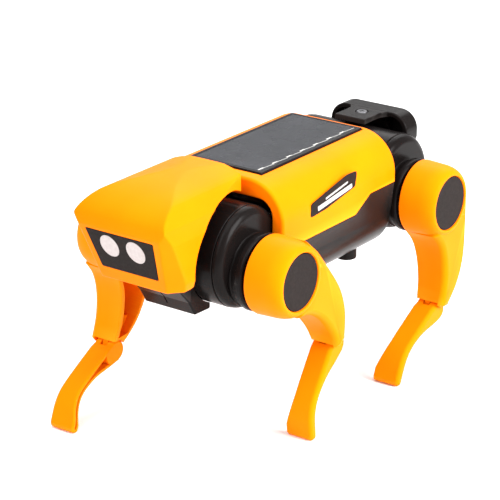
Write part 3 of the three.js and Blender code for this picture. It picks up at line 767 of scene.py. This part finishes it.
def pod(word, hip, end):
    """Drum with a web across its middle and a tongue that reaches into the trunk."""
    edge = 0.32
    ring = [(-POD_HALF, POD_RADIUS - POD_WALL)]
    ring += [(-POD_HALF + edge * (1 - math.cos(t)), POD_RADIUS - edge * (1 - math.sin(t)))
             for t in (0, 0.5, 1.0, math.pi / 2)]
    ring += [(-x, r) for x, r in reversed(ring)]
    drum = shift(lathe(f"{word}_drum", ring), (0, 0, POD_Z))
    mid_wall = POD_RADIUS - POD_WALL / 2
    join(drum, drum_room("web", mid_wall, 1, 72))
    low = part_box(f"{word}_pod")[0] / MM
    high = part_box(f"{word}_pod")[1] / MM
    root = 9
    near, far = (root, high.y - hip.y) if end < 0 else (low.y - hip.y, -root)
    tongue = [(-TONGUE_HALF, near), (TONGUE_HALF, near), (TONGUE_HALF, far), (-TONGUE_HALF, far)]
    tongue = slab("tongue", rounded(tongue, 1.5), across_z, TONGUE_LOW, TONGUE_HIGH, 0.3, 0.3, 2)
    cut(tongue, drum_room("hollow", mid_wall, 30, 72))
    join(drum, tongue)
    shift(drum, (0, hip.y, HIP_Z))
    mount(finished(drum), "chassis", "black_shell", f"{word}_pod")


def pod_cap(word, hip, name):
    """Rounded end disc of a drum and the collar that carries the hip shaft."""
    face, rim = CAP_FACE, POD_RADIUS - 0.2
    back, chamfer = POD_HALF + 0.3, 0.3
    dome = [(back, SHAFT_BORE), (back, rim - chamfer), (back + chamfer, rim)]
    dome += arc(face - CAP_EDGE, rim - CAP_EDGE, CAP_EDGE, 90, 0, 10) + [(face, SHAFT_BORE)]
    root, lip, edge, recess = 0.8, 0.6, 1.2, 1.6
    tube = [(face - 1, SHAFT_BORE), (face - 1, NECK_RADIUS + root)]
    tube += arc(face + root, NECK_RADIUS + root, root, 180, 270, 4) + [(NECK_END, NECK_RADIUS)]
    tube += arc(NECK_END + lip, COLLAR_RADIUS - lip, lip, 180, 90, 3)
    tube += arc(COLLAR_END - edge, COLLAR_RADIUS - edge, edge, 90, 0, 6)
    tube += [(COLLAR_END, 6.5), (COLLAR_END - recess, 6.2), (COLLAR_END - recess, SHAFT_BORE)]
    side = side_of(name)
    disc = shift(lathe(f"{word}_drum_{name}", dome, side), (0, 0, POD_Z))
    cut(disc, rod("bore", SHAFT_BORE + 0.4, side * 20, side * 45, across_x))
    join(disc, lathe("collar", tube, side))
    shift(disc, (0, hip.y, HIP_Z))
    mount(finished(disc, 40), "chassis", "black_shell", f"{word}_pod_{name}")


# ---------------------------------------------------------------- visor

CHIN = (-43, -0.5)
BROW = (-53.4, 26.6)
FACE_TILT = math.degrees(math.atan2(CHIN[0] - BROW[0], BROW[1] - CHIN[1]))
EYE_X = 7
EYE_HEIGHT = 19.8
EYE_WIDE = 4.85
EYE_TALL = 5.7
CHEEK = Vector((0.639, -0.68, -0.36))  # direction of the facet beside the face
CHEEK_REACH = 40.57
RIM = {"radius": 27.4, "y": -5.4, "z": 7}  # cylinder that shapes the visor's rear edge
NECK_HALF = 14
RECESS_DEPTH = 0.9
PLATE_BACK = 0.6
PLATE_FRONT = -0.12
EYE_FRONT = -0.2


def visor_side(d):
    crown = [(9, 41.6), (-6, 42.4), (-22, 41.8), (-36, 39.9), (-46, 36.6), (-51.7, 32.4), BROW]
    return inset(turning([CHIN, (-33, 0), (9, 4)] + curve(crown, 40)), d)


def visor_front(d):
    crown = curve([(24.4, 31), (19.4, 38.4), (9, 41.6), (0, 42.7)], 15)[:-1]
    return inset(turning(mirrored([(20.5, -6), (24.6, 4), (25.6, 24)] + crown)), d)


def visor_plan(d):
    return inset(turning(mirrored([(25.6, -60), (25.6, -22), (18.6, 8.4), (6, 9)])), d)


def visor_form(d):
    form = slab("visor", visor_side(d), across_x, -40, 40)
    keep(form, slab("front", visor_front(d), across_y, -70, 30))
    keep(form, slab("plan", visor_plan(d), across_z, -30, 60))
    return cut(form, cheek(1, d), cheek(-1, d))


def cheek(side, d):
    """What the facet between the face and one side takes off."""
    normal = Vector((side * CHEEK.x, CHEEK.y, CHEEK.z))
    size = 60
    waste = block("cheek", (-size, size), (-size, size), (0, size))
    waste.data.transform(Vector((0, 0, 1)).rotation_difference(normal).to_matrix().to_4x4())
    return shift(waste, normal * (CHEEK_REACH - d))


def eye_outline(x, d):
    """Outline of an eye, widened by d."""
    wide, tall = EYE_WIDE + d, EYE_TALL + d
    return [(x + wide * u, EYE_HEIGHT + tall * v) for u, v in arc(0, 0, 1, 0, 354, 59)]


def on_face(obj):
    """Puts what is drawn in the XZ plane onto the front face, with its foot at the chin."""
    return shift(turn(obj, FACE_TILT), (0, *CHIN))


def eye_plate_outline(d):
    return inset(turning(mirrored([(15.1, 6.8), (18, 27)])), d)


def visor():
    outer = softened(visor_form(0), voxel=0.45, rounds=8)
    hollow = softened(visor_form(WALL), voxel=0.6, rounds=6)
    room = rod("room", RIM["radius"], -40, 40, across_x, RIM["y"], RIM["z"], 128)
    neck = block("neck", (-NECK_HALF - 1, NECK_HALF + 1), (-40, -20), (-5, 3))
    recess = slab("recess", rounded(eye_plate_outline(-0.25), 0.8), across_y, -1.4, RECESS_DEPTH)
    cut(outer, hollow, room, neck, on_face(recess))
    shift(outer, (0, FRONT_HIP.y, HIP_Z))
    mount(finished(outer, 38), "chassis", "yellow_shell", "head_shell")


def eye_plate():
    outline = rounded(eye_plate_outline(0), 0.7)
    plate = on_face(slab("eye_panel", outline, across_y, PLATE_BACK, PLATE_FRONT, 0, 0.12, 3))
    for x in (-EYE_X, EYE_X):
        cut(plate, on_face(slab("hole", eye_outline(x, 0.06), across_y, -2, 2)))
    shift(plate, (0, FRONT_HIP.y, HIP_Z))
    mount(finished(plate), "chassis", "matt_black", "eye_plate")


def eye(name, x):
    disc = slab(name, eye_outline(x, 0), across_y, PLATE_BACK, EYE_FRONT, 0, 0.15, 3)
    shift(on_face(disc), (0, FRONT_HIP.y, HIP_Z))
    mount(finished(disc), "chassis", "eye_white", name)


def neck_mount():
    """Bracket that holds the head on the drum, with a thin groove down its middle."""
    outline = [(-36, 2.6), (-30, -4.5), (-23, -12.2), (-18.8, -19.2), (-8, -19.6), (-8, -14),
               (-20, 8), (-24.5, 24), (-28, 24)]
    outline = rounded(turning(outline), 1.2)
    groove_half, groove_depth, groove_back = 0.35, 0.6, -20.5
    body = slab("neck_bracket", outline, across_x, -NECK_HALF, NECK_HALF, 1.0, 1.0)
    cut(body, drum_room("clear", POD_RADIUS + POD_CLEARANCE, 40, 96))
    groove = [(-60, -60), (-60, 60), (groove_back, 60), (groove_back, -60)]
    groove = slab("groove", groove, across_x, -groove_half, groove_half)
    cut(groove, slab("rim", inset(turning(outline), groove_depth), across_x, -3, 3))
    cut(body, groove)
    shift(body, (0, FRONT_HIP.y, HIP_Z))
    mount(finished(body), "chassis", "black_shell", "neck_mount")


# ---------------------------------------------------------------- rear hood

HOOD_HALF = 21.8
HOOD_FRONT = 15
HOOD_BACK = 26
HOOD_CORNER = 9
HOOD_SHOULDER = 23.5
HOOD_SCREW_Y = 9
STRAP_LOW = 30.0
STRAP_HIGH = 32.4
STRAP_HALF = 8.5


def rear_hood():
    """Open-fronted box behind the rear drum, on a strap that a screw holds down."""
    shoulder = (HOOD_HALF - HOOD_CORNER, HOOD_SHOULDER)
    outline = turning(mirrored(
        [(14, 14), (20.5, 16), (HOOD_HALF, 20)] + arc(*shoulder, HOOD_CORNER, 0, 90, 16)
    ))
    shell = slab("rear_hood_shell", outline, across_y, HOOD_FRONT, HOOD_BACK, 0.7, 2.0, 5)
    cut(shell, slab("hollow", inset(outline, 2), across_y, HOOD_FRONT - 5, HOOD_BACK - 2.4, 0, 2.0))
    flare = curve([(STRAP_HALF, -1.5), (STRAP_HALF, 10), (9.6, 13.6), (13, 16.4), (19, 17.6)], 24)
    strap = slab("strap", turning(mirrored(flare)), across_z, STRAP_LOW, STRAP_HIGH, 0, 0.5, 3)
    limit = mirrored([(HOOD_HALF - 0.4, 20)] + arc(*shoulder, HOOD_CORNER - 0.1, 0, 90, 16))
    keep(strap, slab("limit", limit, across_y, -5, 24))
    web = slab("web", [(14, 32), (25, 32), (25, 20), (22, 20)], across_x, -STRAP_HALF, STRAP_HALF)
    join(shell, strap, web)
    cut(shell, drum_room("clear", POD_RADIUS + POD_CLEARANCE, 40, 96))
    cut(shell, rod("hole", SCREW_HOLE, 20, 40, across_z, 0, HOOD_SCREW_Y, 24))
    cut(shell, rod("sink", SCREW_HEAD + 0.5, STRAP_HIGH - 0.9, 40, across_z, 0, HOOD_SCREW_Y, 48))
    shift(shell, (0, REAR_HIP.y, HIP_Z))
    mount(finished(shell), "chassis", "black_shell", "rear_hood")
    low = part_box("hood_screw")[0] / MM
    screw("hood_screw_head", "hood_screw", low.z + 2.2, low.z + 3.4, 0, REAR_HIP.y + HOOD_SCREW_Y)


# ---------------------------------------------------------------- legs

# (y, z) of a thigh that hangs straight down from its hip, and of a shin from its knee at ZERO_BEND
THIGH_FRONT = [(-10.3, -14.5), (-5.6, -19.6), (-2.6, -26), (-1.2, -34), (-1.4, -42.5),
               (-3.4, -51.4)]
THIGH_REAR = [(4.6, -51.8), (7.9, -48.6), (11.6, -44), (14.7, -38), (16.8, -30.5), (17.5, -21),
              (17.6, -3)]
SHIN_FRONT = [(-6.4, 2.6), (-14.4, -2), (-23.7, -7.6), (-29, -11.6), (-32.6, -16.4), (-34.6, -21),
              (-36, -25)]
SHIN_REAR = [(-35.6, -26.6), (-34, -27.6), (-32.2, -27.2), (-31.2, -25.4), (-29.4, -20.8),
             (-27, -16.4), (-23.8, -12.9), (-19.2, -10), (-13, -7.7), (-5, -6.3), (1.2, -5)]


def thigh_outline():
    """Spaced out near the hub and the knee, so its rounded edge never folds over."""
    front = curve(THIGH_FRONT, 30)
    front = [(-6, -6), front[0]] + front[3:-4]
    knee_end = [THIGH_FRONT[-1], (-1.4, -53.2), (3.4, -53.4)]
    return turning(front + knee_end + curve(THIGH_REAR, 36) + [(16, 7)])


def shin_outline():
    return turning(arc(0, 0, KNUCKLE, -50, 132, 24) + curve(SHIN_FRONT, 30) + curve(SHIN_REAR, 44))


def thigh_inner(z):
    """The inboard edge leans outwards towards the knee."""
    share = share_of(-z, 18, 58)
    return HUB_INNER - 0.5 * (1 - share) + 3.1 * share


def thigh_plate(side):
    outline = thigh_outline()
    chamfer, edge = 0.5, 3.0
    rings = [[(side * thigh_inner(z), y, z) for y, z in inset(outline, chamfer)]]
    rings.append([(side * (thigh_inner(z) + chamfer), y, z) for y, z in outline])
    for back, d in reversed(fillet(edge, 8)):
        rings.append([(side * (THIGH_OUTER - back), y, z) for y, z in inset(outline, d)])
    return loft("thigh_plate", rings)


def hub(side):
    """Drum round the hip shaft, with a broad rounded shoulder and a seat for its disc."""
    profile = [(HUB_INNER, POST_RADIUS), (HUB_INNER, HUB_RADIUS - 0.7),
               (HUB_INNER + 0.3, HUB_RADIUS - 0.2), (HUB_INNER + 1.1, HUB_RADIUS)]
    shoulder = HUB_RADIUS - 0.4 - HUB_FACE
    profile += [(HUB_OUTER - HUB_EDGE + HUB_EDGE * u, HUB_FACE + shoulder * v)
                for u, v in arc(0, 0, 1, 90, 0, 16)]
    profile += [(HUB_OUTER - 0.1, DISC_RADIUS + 0.6), (HUB_OUTER - 0.45, DISC_RADIUS + 0.35),
                (DISC_SEAT, DISC_RADIUS + DISC_GAP), (DISC_SEAT, POST_RADIUS)]
    return lathe("hub", profile, side)


def hub_ring(side):
    """The open room round the post, on the inboard side of the hub."""
    start = HUB_INNER - 2
    ring = [(start, POST_RADIUS), (start, HUB_ROOM), (HUB_FLOOR - 3, HUB_ROOM), (HUB_FLOOR, 14.2),
            (HUB_FLOOR, POST_RADIUS)]
    return lathe("ring", ring, side)


def hub_post(side):
    """The bored post that sits on the hip shaft."""
    bore, radius, start, end = 3.9, POST_RADIUS + 0.1, HUB_INNER + 0.01, DISC_SEAT - 0.01
    post = [(start, bore), (start, radius - 0.6), (HUB_INNER + 0.5, radius),
            (HUB_OUTER - 3.4, radius), (end, radius), (end, bore)]
    return lathe("post", post, side)


def thigh_pocket():
    """Outline of the open channel on the inboard side, between the hub and the knee."""
    top, front_low, rear_low = -20.5, -50, -48
    front = [(y + THIGH_WALL, z) for y, z in curve(THIGH_FRONT, 30) if front_low < z < top]
    rear = [(y - THIGH_WALL, z) for y, z in curve(THIGH_REAR, 36) if rear_low < z < top]
    return turning(front + rear)


def thigh(name):
    side = side_of(name)
    body = thigh_plate(side)
    floor = side * (THIGH_OUTER - WALL)
    cut(body, slab("pocket", thigh_pocket(), across_x, side * INBOARD, floor, 0, 1.2))
    join(body, hub(side))
    seat = (DISC_RADIUS + DISC_GAP, side * DISC_SEAT, side * OUTBOARD)
    cut(body, hub_ring(side), rod("seat", *seat, across_x, 0, 0, 96))
    join(body, hub_post(side))
    shin_side = (side * INBOARD, side * (SHIN_OUTER + KNEE_GAP))
    room = rod("room", KNUCKLE + KNEE_GAP, *shin_side, across_x, 0, -KNEE_DROP, 72)
    lower = [(-12, -60), (-1, -60), (-1, -50.3), (-12, -50.3)]
    cut(body, room, slab("lower", lower, across_x, *shin_side))
    neck = [(3.9, -50), (9.5, -45.5), (12, -41), (-0.6, -41), (-1.4, -47)]
    tongue = arc(0, -KNEE_DROP, TONGUE_RADIUS, 180, 360, 20) + neck
    start, end = (side * x for x in KNEE_TONGUE)
    join(body, slab("tongue", tongue, across_x, start, end, 0.25, 0.25, 2))
    return body


def shin_inner(y, z):
    """The foot is wider than the calf on its inboard side."""
    share = share_of(math.hypot(y, z), 26, 40)
    return SHIN_INNER - 3 * share * share


def shin(name):
    side = side_of(name)
    outline = shin_outline()
    inner_edge, outer_edge = 0.9, 1.9
    rings = []
    for back, d in fillet(inner_edge, 4):
        rings.append([(side * (shin_inner(y, z) + back), y, z) for y, z in inset(outline, d)])
    for back, d in reversed(fillet(outer_edge, 7)):
        rings.append([(side * (SHIN_OUTER - back), y, z) for y, z in inset(outline, d)])
    body = loft("shin_plate", rings)
    hollow, floor = inset(outline, SHIN_WALL), side * (SHIN_OUTER - WALL)
    pocket = slab("pocket", hollow, across_x, side * INBOARD, floor, 0, 0.6, 3)
    cut(pocket, rod("keep", KNUCKLE + 2.5, side * INBOARD, side * OUTBOARD, across_x))
    cut(body, pocket)
    slot = arc(0, 0, TONGUE_RADIUS + 0.6, 165, 366, 20) + [(6.5, 1.6), (6.5, 8), (-4.6, 8)]
    start, end = side * (KNEE_TONGUE[0] - 0.4), side * (KNEE_TONGUE[1] + 0.4)
    cut(body, slab("slot", slot, across_x, start, end))
    return body


def leg(name):
    side = side_of(name)
    hip = FRONT_HIP if name.startswith("front") else REAR_HIP
    knee = centre(f"knee_pin_{name}")
    thigh_turn = math.degrees(math.atan2(knee.y - hip.y, hip.z - knee.z))
    bend = MOST_BEND + JOINTS[f"{name}_knee"]["range_deg"][0]
    upper = shift(turn(thigh(name), thigh_turn), (0, hip.y, hip.z))
    upper.name = f"thigh_{name}_shell"
    mount(finished(upper), f"leg_{name}", "yellow_shell", f"thigh_{name}")
    lower = shift(turn(shin(name), thigh_turn + ZERO_BEND - bend), (0, knee.y, knee.z))
    lowest = min(vert.co.z for vert in lower.data.vertices) / MM
    shift(lower, (0, 0, max(0, 0.01 - lowest)))  # the foot stays above the floor
    lower.name = f"shin_{name}_shell"
    mount(finished(lower), f"lower_leg_{name}", "yellow_shell", f"shin_{name}")
    back, face = side * (DISC_SEAT + 0.2), side * (HUB_OUTER - 0.5)
    disc = rod(f"hub_disc_{name}", DISC_RADIUS, back, face, across_x, 0, 0, 96, 0.25)
    shift(disc, (0, hip.y, hip.z))
    mount(finished(disc), f"leg_{name}", "matt_black", f"hub_cap_{name}")
    start, end = (side * x for x in PIN_SPAN)
    pin = rod(f"knee_pin_{name}_round", PIN_RADIUS, start, end, across_x, 0, 0, 32, 0.3)
    shift(pin, (0, knee.y, knee.z))
    mount(finished(pin), f"lower_leg_{name}", "steel", f"knee_pin_{name}")


# ---------------------------------------------------------------- side labels

LABEL = [(-26.5, 14.4), (-14, 15.2), (9, 19.2), (10.5, 26.4), (2.5, 26.6), (-25.6, 20.6)]
LABEL_BARS = (
    [(-20.5, 16), (6.5, 19.4), (6.3, 21.6), (-20.8, 18.2)],
    [(-14.6, 19.6), (3, 22.6), (2.9, 23.6), (-14.7, 20.6)],
)
LABEL_SPAN = (-0.2, 0.14)  # from the trunk's side face
BAR_SPAN = (0.1, 0.17)


def side_label(name, side):
    """Plain printed label with two light bars, in place of a printed name."""
    start, end = (side * (BODY_HALF + x) for x in LABEL_SPAN)
    film = slab(name, rounded(turning(LABEL), 1.6), across_x, start, end, 0, 0.1, 2)
    shift(film, (0, TRUNK.y, HIP_Z))
    mount(finished(film), "chassis", "matt_black")
    start, end = (side * (BODY_HALF + x) for x in BAR_SPAN)
    for i, bar in enumerate(LABEL_BARS):
        piece = slab(f"{name}_bar_{i + 1}", rounded(turning(bar), 0.5), across_x, start, end)
        shift(piece, (0, TRUNK.y, HIP_Z))
        mount(finished(piece), "chassis", "matt_black", material=PRINT)


# ---------------------------------------------------------------- build

upper_shell()
lower_shell()
belly_screws()
solar_panel()
for word, hip, end in (("front", FRONT_HIP, -1), ("rear", REAR_HIP, 1)):
    pod(word, hip, end)
    for cap in ("cap_left", "cap_right"):
        pod_cap(word, hip, cap)
visor()
eye_plate()
eye("eye_left", EYE_X)
eye("eye_right", -EYE_X)
neck_mount()
rear_hood()
for leg_name in LEGS:
    leg(leg_name)
side_label("side_label_left", 1)
side_label("side_label_right", -1)

NODE_SLOT = {part["node"]: part["material_slot"] for part in frame["record"]["subparts"]}
for node, obj in frame["nodes"].items():
    if not obj.hide_render:
        dress(obj, NODE_SLOT[node])


# ---------------------------------------------------------------- floor, light and camera

CAMERA_AZIMUTH = 36.109
CAMERA_ELEVATION = 21.161
CAMERA_PLACE = Vector((529.12, FRONT_HIP.y - 685.31, HIP_Z + 337.03)) * MM
CAMERA_LENS = 152.6
SENSOR_WIDTH = 36
MIDDLE_HEIGHT = 0.07
# name, azimuth, elevation, distance, size, power
LIGHTS = (
    ("side_box", 100, 28, 1.1, 0.7, 25),
    ("front_box", -10, 40, 1.3, 0.9, 10),
    ("top_box", 20, 80, 1.2, 1.0, 10.5),
    ("back_box", 200, 45, 1.3, 0.9, 7),
)


def floor():
    """A pale sheet that curves up behind the object."""
    half, front, back, rise, bend = 4.0, -5.0, 2.6, 3.0, 1.2
    profile = [(front, 0.0)] + [(back - bend + y, z + bend) for y, z in arc(0, 0, bend, -90, 0, 24)]
    profile.append((back, rise))
    verts = [(x, y, z) for x in (-half, half) for y, z in profile]
    n = len(profile)
    mesh = bpy.data.meshes.new("backdrop")
    mesh.from_pydata(verts, [], [(i, i + 1, n + i + 1, n + i) for i in range(n - 1)])
    obj = bpy.data.objects.new("backdrop", mesh)
    bpy.context.scene.collection.objects.link(obj)
    obj.data.shade_smooth()
    obj.rotation_euler.z = math.radians(CAMERA_AZIMUTH)
    look = Look("paper")
    paper = look.mottled(look.noise(3, 2), (0.88, 0.88, 0.88), (0.91, 0.91, 0.91))
    look.set(Base_Color=paper, Roughness=0.9)
    obj.data.materials.append(look.material)


def area_light(name, azimuth, elevation, distance, size, power):
    """Soft box that looks at the middle of the object."""
    light = bpy.data.lights.new(name, "AREA")
    light.shape = "SQUARE"
    light.size = size
    light.energy = power
    obj = bpy.data.objects.new(name, light)
    bpy.context.scene.collection.objects.link(obj)
    obj.rotation_euler = (math.radians(90 - elevation), 0, math.radians(azimuth))
    a, e = math.radians(azimuth), math.radians(elevation)
    away = Vector((math.sin(a) * math.cos(e), -math.cos(a) * math.cos(e), math.sin(e)))
    obj.location = Vector((0, 0, MIDDLE_HEIGHT)) + away * distance


floor()
for values in LIGHTS:
    area_light(*values)

world = bpy.data.worlds.new("studio")
world.use_nodes = True
background = world.node_tree.nodes["Background"]
background.inputs["Color"].default_value = (1, 1, 1, 1)
background.inputs["Strength"].default_value = 0.7
bpy.context.scene.world = world
bpy.context.scene.view_settings.view_transform = "Standard"

camera_data = bpy.data.cameras.new("camera")
camera_data.lens = CAMERA_LENS
camera_data.sensor_width = SENSOR_WIDTH
camera_data.clip_end = 20
camera = bpy.data.objects.new("camera", camera_data)
bpy.context.scene.collection.objects.link(camera)
camera.location = CAMERA_PLACE
camera.rotation_euler = (math.radians(90 - CAMERA_ELEVATION), 0, math.radians(CAMERA_AZIMUTH))
bpy.context.scene.camera = camera
